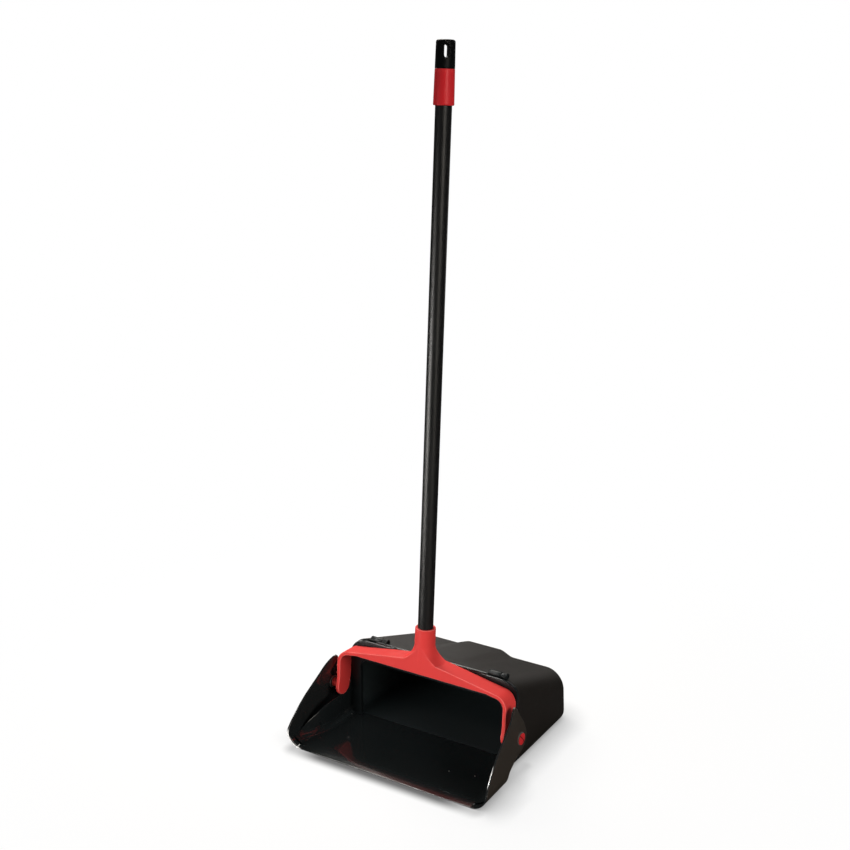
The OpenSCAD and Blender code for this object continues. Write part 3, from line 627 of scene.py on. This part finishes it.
def makeScoop():
    half = scoopSide()
    profile = [(-x, z, -nx, nz) for x, z, nx, nz in reversed(half[1:])] + half
    loops, spans = [], []
    for x, z, nx, nz in profile:
        start = follow(panSet["frontEdge"], z)
        stop = follow(panSet["rearEdge"], z)
        if z < 0.5:
            stop = float(np.interp(abs(x), *panSet["floorBack"]))
        spans.append((start, max(stop, start + 0.6)))

    def skin(index, y, depth):
        x, z, nx, nz = profile[index]
        curl = panSet["curl"] * softAfter(z, *panSet["curlHeight"]) * softAfter(y, *panSet["curlDepth"])
        narrow = narrowing(y) - curl / panSet["half"]  # the upper corner turns in
        thin = (panSet["wall"] - panSet["lipEdge"]) * max(0.0, 1 - (y - spans[index][0]) / panSet["lipRun"])
        thin *= 1 - softAfter(z, *panSet["lipHeight"])  # only the lip is drawn thin, not the cheeks' edges
        thick = (panSet["wall"] - thin) * depth
        return np.array((x * narrow - nx * thick, y, z - nz * thick))

    def rim(index, which):  # half round over the front or rear edge
        y = spans[index][which]
        outer, inner = skin(index, y, 0.0), skin(index, y, 1.0)
        before, after = max(index - 1, 0), min(index + 1, len(profile) - 1)
        along = skin(after, spans[after][which], 0.5) - skin(before, spans[before][which], 0.5)
        normal = outer - inner
        away = np.cross(along, normal)
        away /= np.linalg.norm(away) or 1.0
        away *= (1.0 if which else -1.0) * (1.0 if away[1] >= 0 else -1.0)
        if abs(away[1]) < 0.05:
            away = np.array((0.0, 0.0, -1.0 if which else 1.0))
        middle = (outer + inner) / 2
        away *= np.linalg.norm(normal) / 2
        turns = np.linspace(0, math.pi, 7)[1:-1]
        return [middle + normal / 2 * math.cos(a) + away * math.sin(a) for a in turns]

    close = np.array((0.0, 0.003, 0.009, 0.022, 0.05))  # rows close to each rim keep its highlight narrow
    share = np.concatenate((close, np.linspace(0.09, 0.91, 20), 1 - close[::-1]))
    steps = len(share)
    for index, (low, high) in enumerate(spans):
        outer = [skin(index, low + (high - low) * t, 0.0) for t in share]
        inner = [skin(index, low + (high - low) * t, 1.0) for t in reversed(share)]
        loops.append(outer + rim(index, 1) + inner + list(reversed(rim(index, 0))))

    def finishAt(i, j):  # satin outside and on the outermost rim of the cheeks
        outside = j < steps - 1
        outerRim = j < steps or j > 2 * steps + 8
        return satin if outside or (outerRim and profile[i][1] > panSet["satinFrom"]) else gloss

    cast = newCast()
    addSheet(cast, loops, finishAt, wrap=True, ends=True)
    scoop = castPiece(cast, "scoop", panFinishes, 50.0)
    holes = []
    for sign in (-1, 1):
        hole = newCast()
        bore = [(0, earSet["hole"]), (40, earSet["hole"])]
        addBar(hole, (sign * 140.0, earSet["y"], earSet["z"]), bore, sign=sign)
        holes.append(castPiece(hole, "earHole", panFinishes))
    return cutAway(scoop, holes, 50.0)


# Front pan: low inner walls

wallSet = {"start": 8.0, "run": 67.0, "bendEnd": 76.0, "straight": 80.0, "nose": 11.0, "sink": 0.8,
           "rimInside": 15.0, "rimOutside": 17.9, "rimTurn": (-100, 15), "rimNear": 143.3}


def cheekInside(y, z):  # distance of a cheek's inner face from the middle
    radius = panSet["radius"]
    centre = (panSet["half"] - radius / cosOf(panSet["lean"])) * narrowing(y)
    bend = radius - panSet["wall"]
    if z < radius:
        return centre + math.sqrt(max(0.0, bend ** 2 - (radius - z) ** 2))
    return centre + bend - (z - radius) * slope(panSet["lean"])


def cheekMiddle(y, z):  # distance of the middle of a cheek's straight wall
    lean = max(0.0, z - panSet["radius"]) * slope(panSet["lean"])
    return panSet["half"] - y * slope(panSet["taper"]) - lean - panSet["wall"] / 2


def bentOut(x, y, z):  # the front end bends out into the cheek
    share = 1 - softAfter(y, wallSet["start"], wallSet["run"])
    return x + (cheekInside(y, z) + wallSet["sink"] - x) * share


def lowWallRows(sign):
    wall, lean, foot, top = panSet["wall"], hoodSet["lean"], hoodSet["foot"], panSet["innerWall"]
    bend = np.linspace(wallSet["start"], wallSet["bendEnd"], 36)
    rows = []
    for y in np.concatenate((bend, np.linspace(wallSet["straight"], mouthSet["back"] - 0.5, 12))):
        rise = top - (top - wallSet["nose"]) * (1 - softAfter(y, wallSet["start"], wallSet["run"]))
        out = hoodSet["half"] - (y - hoodSet["front"]) * slope(hoodSet["taper"])
        centre = out - foot * slope(lean) - foot / cosOf(lean)
        loop = arc((centre, foot), foot - wall, -90, lean, 10)
        loop += line(loop[-1], (out - rise * slope(lean) - wall, rise - wall / 2), 6)[1:-1]
        loop += arc((out - rise * slope(lean) - wall / 2, rise - wall / 2), wall / 2, 180, 0, 9)
        loop += arc((centre, foot), foot - 0.05, lean, -90, 10)
        rows.append([(sign * bentOut(x, y, z), y, z) for x, z in loop])
    return rows


def ledgeRows(sign):  # step and ledge that close the side between the low wall and the cheek
    top, first, radius = panSet["innerWall"], panSet["wallStart"], panSet["radius"]
    ledge = ((first, 1.0), (first, 24.0), (first + 1.5, 26.5), (first + 5, 28.5), (88.0, top - 3.0),
             (92.0, top - 1.2), (96.0, top - 0.2), (107.0, top - 0.2), (107.0, top - 3.0), (97.0, top - 3.4),
             (90.0, top - 6.0), (first + 8, 25.0), (first + 3, 21.0), (first + 3, 1.0))
    rows = [[], [], []]
    for y, z in ledge:
        near = bentOut(hoodSet["half"] - z * slope(hoodSet["lean"]) - 1.0, y, z)
        far = max(cheekMiddle(y, z) - roundIn(radius, radius - z), near + 1.0)
        for row, share in zip(rows, (0.0, 0.5, 1.0)):
            row.append((sign * (near + (far - near) * share), y, z))
    return rows


def gussetRows(sign):  # gusset in the corner between the low wall and the mouth frame
    low = panSet["innerWall"] - 1.0
    gusset = ((116.0, low), (117.6, 43.6), (119.0, 45.6), (121.2, 50.0), (122.2, 56.0), (126.0, 56.0),
              (126.0, low))
    rows = []
    for inset in (panSet["wall"], 0.05):
        out = hoodSet["half"] - inset
        rows.append([(sign * (out - z * slope(hoodSet["lean"])), y, z) for y, z in gusset])
    return rows


def earRimRows(sign):  # rim that closes the side behind and under the ear
    near, inside, outside = wallSet["rimNear"], wallSet["rimInside"], wallSet["rimOutside"]
    rows = []
    for a in np.linspace(*wallSet["rimTurn"], 30):
        row = []
        for reach, share in ((inside, 0.0), (outside, 0.0), (outside, 1.0), (inside, 1.0)):
            y, z = earSet["y"] + reach * cosOf(a), earSet["z"] + reach * sinOf(a)
            row.append((sign * (near + (cheekMiddle(y, z) - near) * share), y, z))
        rows.append(row)
    return rows


def makeInnerWalls():
    cast = newCast()
    for sign in (-1, 1):
        addSheet(cast, lowWallRows(sign), gloss, wrap=True, ends=True)
        for rows in (ledgeRows(sign), gussetRows(sign), earRimRows(sign)):
            addSheet(cast, rows, dull, wrap=True, ends=True)
    return castPiece(cast, "innerWalls", panFinishes)


# Front pan: mouth frame, bead, hinge barrels and ear bosses

mouthSet = {"front": 125.6, "back": 131.4, "half": 122.0, "height": 94.3, "corner": 12.0, "sillDrop": 0.5,
            "foot": 0.6, "bead": 2.0, "beadShare": 0.78, "square": 4.6, "squareWay": (0.89, 0.0, 0.45),
            "squareCentre": (111.0, 98.2), "squareFrom": (105, 80), "squareTurn": (-25, 60),
            "squareEnd": (95, 55)}


def mouthRing(y, grow):
    half, top, bend = mouthSet["half"] + grow, mouthSet["height"] + grow, mouthSet["corner"] + grow
    low, foot = panSet["wall"] - mouthSet["sillDrop"] - grow, mouthSet["foot"]
    side = line((0, low), (half - foot, low), ringSteps["floor"])[:-1]
    side += arc((half - foot, low + foot), foot, -90, 0, ringSteps["foot"])
    side += line(side[-1], (half, top - bend), ringSteps["wall"])[1:]
    side += arc((half - bend, top - bend), bend, 0, 90, ringSteps["bend"])[1:]
    side += line((half - bend, top), (0, top), ringSteps["roof"])[1:]
    return mirrored([(x, y, z) for x, z in side])


def frameRing(y, inset):
    roofZ = hoodSet["height"] - (y - mouthSet["front"]) * slope(hoodSet["roof"])
    ring = np.array(hoodRing(hoodSet["front"], inset, roofZ, False))
    ring[:, 1] = y
    centreX, centreZ = mouthSet["squareCentre"]
    fromX, fromZ = mouthSet["squareFrom"]
    endTurn, endRun = mouthSet["squareEnd"]
    for point in ring:  # the right corner is squarer than the left
        if point[0] > fromX and point[2] > fromZ:
            turn = math.degrees(math.atan2(point[2] - centreZ, point[0] - centreX))
            push = softAfter(turn, *mouthSet["squareTurn"]) * soft((endTurn - turn) / endRun)
            point += np.array(mouthSet["squareWay"]) * mouthSet["square"] * push
    return ring


def makeMouthFrame():
    front, back = mouthSet["front"], mouthSet["back"]
    inner = ((back, 0.7), (back - 0.7, 0.0), (front + 0.9, 0.0), (front + 0.26, 0.26), (front, 0.9))
    outer = ((front, 1.2), (front + 0.35, 0.35), (front + 1.2, 0.0), (back - 0.6, 0.0), (back, 0.6))
    rows = [mouthRing(*row) for row in inner] + [frameRing(*row) for row in outer] + [mouthRing(*inner[0])]
    cast = newCast()
    addSheet(cast, rows, lambda i, j: dull if i < len(inner) else gloss, wrap=True)
    span = 2 * mouthSet["half"] * mouthSet["beadShare"]
    addBar(cast, (-span / 2, front + mouthSet["bead"], hoodSet["height"]),
           [(0, 0.3), (0.6, 1.3), (1.6, 1.85), (3.0, 2.0), (span - 3.0, 2.0), (span - 1.6, 1.85),
            (span - 0.6, 1.3), (span, 0.3)], gloss, 28)
    span, radius, bore = hingeSet["length"], hingeSet["radius"], hingeSet["bore"]
    for start in hingeSet["starts"]:
        addBar(cast, (start, hingeSet["y"], hingeSet["z"]),
               [(0, bore), (0, radius - 0.6), (0.18, radius - 0.18), (0.6, radius), (span - 0.6, radius),
                (span - 0.18, radius - 0.18), (span, radius - 0.6), (span, bore)], dull, closed=True)
    span, radius, bore = earSet["outside"] - earSet["inside"], earSet["radius"], earSet["hole"]
    edge = earSet["break"]
    for sign in (-1, 1):
        addBar(cast, (sign * earSet["inside"], earSet["y"], earSet["z"]),
               [(0, bore), (0, radius - edge), (edge, radius), (span - edge, radius), (span, radius - edge),
                (span, bore)], satin, sign=sign, closed=True)
    return castPiece(cast, "mouthFrame", panFinishes)


frontPan = gather("frontPan", [makeScoop(), makeInnerWalls(), makeMouthFrame()])
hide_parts("front_pan")
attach(frontPan, "pan")
print("front pan made")


# Yoke

yokeSet = {"voxel": 0.75, "rounds": 5, "pivotY": 104.0, "pivotZ": 58.6, "lean": 3.6, "setBack": 2.0,
           "bore": 11.3, "boreCore": 8.0, "boreFrom": 77.5}


def makeYoke():
    piece = roundedCopy("yoke", "redYoke", yokeSet, yokeRed)
    points = np.empty(len(piece.data.vertices) * 3)
    piece.data.vertices.foreach_get("co", points)
    points = points.reshape(-1, 3)
    # keep the bore clear of the tube
    lean, bore = yokeSet["lean"], yokeSet["bore"] * mm
    axis = np.array((0.0, sinOf(lean), cosOf(lean)))
    back = np.array((0.0, cosOf(lean), -sinOf(lean)))
    origin = inFrame((0.0, yokeSet["pivotY"], yokeSet["pivotZ"])) + back * yokeSet["setBack"] * mm
    along = (points - origin) @ axis
    radial = points - origin - along[:, None] * axis
    distance = np.linalg.norm(radial, axis=1)
    tight = (distance < bore) & (distance > yokeSet["boreCore"] * mm) & (along > yokeSet["boreFrom"] * mm)
    points[tight] += radial[tight] / distance[tight, None] * (bore - distance[tight, None])
    piece.data.vertices.foreach_set("co", points.reshape(-1))
    piece.data.update()
    return piece


redYoke = makeYoke()
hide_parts("yoke")
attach(redYoke, "handle")
print("yoke made", len(redYoke.data.vertices))


# Cap, and the solids that stay

capSet = {"voxel": 0.55, "rounds": 9}

hangerCap = roundedCopy("hanger_cap", "hangerCap", capSet, capSatin)
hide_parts("hanger_cap")
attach(hangerCap, "handle")
print("cap made")

for node, finish in (("left_pivot_pin", pinRed), ("right_pivot_pin", pinRed), ("left_hinge_pin", pinSteel),
                     ("right_hinge_pin", pinSteel), ("handle_tube", tubeCoat), ("handle_tip", capSatin),
                     ("grip_sleeve", gripRed)):
    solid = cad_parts[node].data
    solid.materials.clear()
    solid.materials.append(finish)
print("solids dressed")


# Camera

cameraSet = {"at": (0.890032, -1.451322, 0.971416), "tilt": 73.838, "turn": 31.928, "lens": 54.403,
             "sensor": 36.0, "shift": (-0.0058, -0.0039), "near": 0.01}
lens = bpy.data.cameras.new("camera")
lens.lens = cameraSet["lens"]
lens.sensor_width = cameraSet["sensor"]
lens.shift_x, lens.shift_y = cameraSet["shift"]
lens.clip_start = cameraSet["near"]
camera = bpy.data.objects.new("camera", lens)
camera.location = cameraSet["at"]
camera.rotation_euler = (math.radians(cameraSet["tilt"]), 0.0, math.radians(cameraSet["turn"]))
scene.collection.objects.link(camera)
scene.camera = camera


# Stage and light

stageSet = {"seen": colour(0.80, 0.80, 0.80), "bounce": colour(0.25, 0.25, 0.25),
            "mirrored": colour(0.04, 0.04, 0.045), "world": colour(0.13, 0.13, 0.135),
            "worldMirrored": colour(0.055, 0.055, 0.058), "glow": 0.86, "fade": (300.0, 850.0),
            "panHalf": (150.0, 65.5), "panMiddle": -82.5, "contact": 0.83, "contactFade": (4.0, 26.0),
            "sideLess": 0.55, "rightSide": (90.0, 150.0), "leftSide": (-150.0, -100.0),
            "cover": 0.80, "coverReach": 0.045, "coverLeft": 0.35, "coverAcross": (-90.0, 60.0),
            "half": 9.0, "drop": 0.0004}
black, white = colour(0, 0, 0), colour(1, 1, 1)


def rayTone(wire, plain, mirrored, seen):
    # the stage is white to the camera, dim in reflections and as bounce light
    tone = wire.add("ShaderNodeLightPath", {}, {}, "Is Glossy Ray").tint(plain, mirrored)
    camera = wire.add("ShaderNodeLightPath", {}, {}, "Is Camera Ray")
    return camera.tint(tone, seen), camera


def contactShade(place):
    # soft shade in a narrow band round the fixed pan, and near whatever stands over the floor
    across, deep = place.along(0), place.along(1)
    halfX, halfY = stageSet["panHalf"]
    overX = (across.size() - halfX).atLeast(0.0)
    overY = ((deep - stageSet["panMiddle"]).size() - halfY).atLeast(0.0)
    gap = (overX * overX + overY * overY) ** 0.5
    sides = across.ease(*stageSet["rightSide"]) + 1.0 - across.ease(*stageSet["leftSide"])
    painted = (1.0 - gap.ease(*stageSet["contactFade"])) * stageSet["contact"]
    painted = painted * (1.0 - sides * stageSet["sideLess"])
    reach = {"Distance": stageSet["coverReach"]}
    covered = 1.0 - place.add("ShaderNodeAmbientOcclusion", {"samples": 8}, reach, "AO")
    left = stageSet["coverLeft"]
    covered = covered * (left + across.ease(*stageSet["coverAcross"]) * (1.0 - left)) * stageSet["cover"]
    return painted.atLeast(covered)


def makeFloor():
    finish, place = newFinish("stageFloor")
    tone, camera = rayTone(place, stageSet["bounce"], stageSet["mirrored"], stageSet["seen"])
    contact = contactShade(place) * camera
    shade = place.add("ShaderNodeBsdfDiffuse", {}, {"Color": contact.tint(tone, black)})
    glow = place.add("ShaderNodeEmission", {}, {"Color": contact.tint(white, black), "Strength": 1.0})
    away = place.add("ShaderNodeVectorMath", {"operation": "LENGTH"}, {0: place}, 1)
    share = (stageSet["glow"] + away.ease(*stageSet["fade"]) * (1.0 - stageSet["glow"])) * camera
    closeFinish(finish, place.add("ShaderNodeMixShader", {}, {0: share, 1: shade, 2: glow}))
    mesh = bpy.data.meshes.new("floor")
    half, drop = stageSet["half"], stageSet["drop"]
    corners = [(x * half, y * half, -drop) for x, y in ((-1, -1), (1, -1), (1, 1), (-1, 1))]
    mesh.from_pydata(corners, [], [(0, 1, 2, 3)])
    mesh.materials.append(finish)
    floor = bpy.data.objects.new("floor", mesh)
    scene.collection.objects.link(floor)


def makeWorld():
    world = bpy.data.worlds.new("studio")
    world.use_nodes = True
    world.node_tree.nodes.clear()
    start = Wire(world.node_tree)
    tone, camera = rayTone(start, stageSet["world"], stageSet["worldMirrored"], white)
    back = start.add("ShaderNodeBackground", {}, {"Color": tone, "Strength": 1.0})
    output = world.node_tree.nodes.new("ShaderNodeOutputWorld")
    world.node_tree.links.new(back.socket, output.inputs["Surface"])
    scene.world = world


# a soft lamp leaves no highlight, and a sheen lamp makes only a highlight
lampSet = {"overhead": {"at": (-1.0, 0.9, 2.2), "aim": (0.0, 0.0, 0.1), "size": (1.2, 1.2),
                        "power": 47.0, "tone": (1.0, 0.96, 0.90)},
           "frontRight": {"at": (2.15, -1.42, 0.86), "aim": (0.0, 0.0, 0.56), "size": (0.7, 1.4),
                          "power": 0.85, "tone": (1.0, 0.93, 0.84), "spread": 30.0, "sheen": True},
           "lowLeft": {"at": (-2.02, -2.02, 0.18), "aim": (0.0, 0.0, 0.44), "size": (1.0, 0.34),
                       "power": 0.56, "tone": (1.0, 0.97, 0.93), "spread": 17.0, "sheen": True},
           "lowMiddle": {"at": (-1.32, -2.54, 0.18), "aim": (0.0, 0.0, 0.44), "size": (1.0, 0.34),
                         "power": 0.66, "tone": (1.0, 0.97, 0.93), "spread": 17.0, "sheen": True},
           "frontFill": {"at": (-0.85, -2.1, 0.32), "aim": (0.0, -0.05, 0.10), "size": (1.4, 0.7),
                         "power": 7.1, "tone": (1.0, 0.98, 0.96), "spread": 60.0, "soft": True},
           "rightFill": {"at": (2.2, -0.5, 0.9), "aim": (0.0, 0.0, 0.5), "size": (1.2, 1.2),
                         "power": 37.0, "tone": (1.0, 0.97, 0.94), "soft": True},
           "hoodLeft": {"at": (-0.50, 0.40, 0.62), "aim": (-0.05, 0.05, 0.1), "size": (0.3, 0.3),
                        "power": 5.0, "tone": (1.0, 0.95, 0.88), "soft": True},
           "behind": {"at": (0.05, 1.5, 0.5), "aim": (0.1, 0.0, 0.1), "size": (1.0, 0.35),
                      "power": 0.9, "tone": (1.0, 0.96, 0.92), "sheen": True},
           "roofGlow": {"at": (-0.42, 0.62, 0.16), "aim": (-0.08, 0.03, 0.11), "size": (0.3, 0.08),
                        "power": 0.13, "tone": (1.0, 0.96, 0.92), "sheen": True},
           "beadLine": {"at": (-0.72, -0.98, 1.18), "aim": (0.06, -0.02, 0.128), "size": (0.5, 0.3),
                        "power": 0.35, "tone": (1.0, 0.98, 0.96), "spread": 12.0, "sheen": True}}


def makeLamps():
    for name, setting in lampSet.items():
        lamp = bpy.data.lights.new(name, "AREA")
        lamp.shape = "RECTANGLE"
        lamp.size, lamp.size_y = setting["size"]
        lamp.energy = setting["power"]
        lamp.color = setting["tone"]
        lamp.spread = math.radians(setting.get("spread", 180.0))
        holder = bpy.data.objects.new(name, lamp)
        holder.location = setting["at"]
        aim = Vector(setting["aim"]) - Vector(setting["at"])
        holder.rotation_euler = aim.to_track_quat("-Z", "Y").to_euler()
        holder.visible_camera = False
        holder.visible_glossy = not setting.get("soft", False)
        holder.visible_diffuse = not setting.get("sheen", False)
        scene.collection.objects.link(holder)


makeFloor()
makeWorld()
makeLamps()
scene.view_settings.view_transform = "Standard"
print("stage lit")
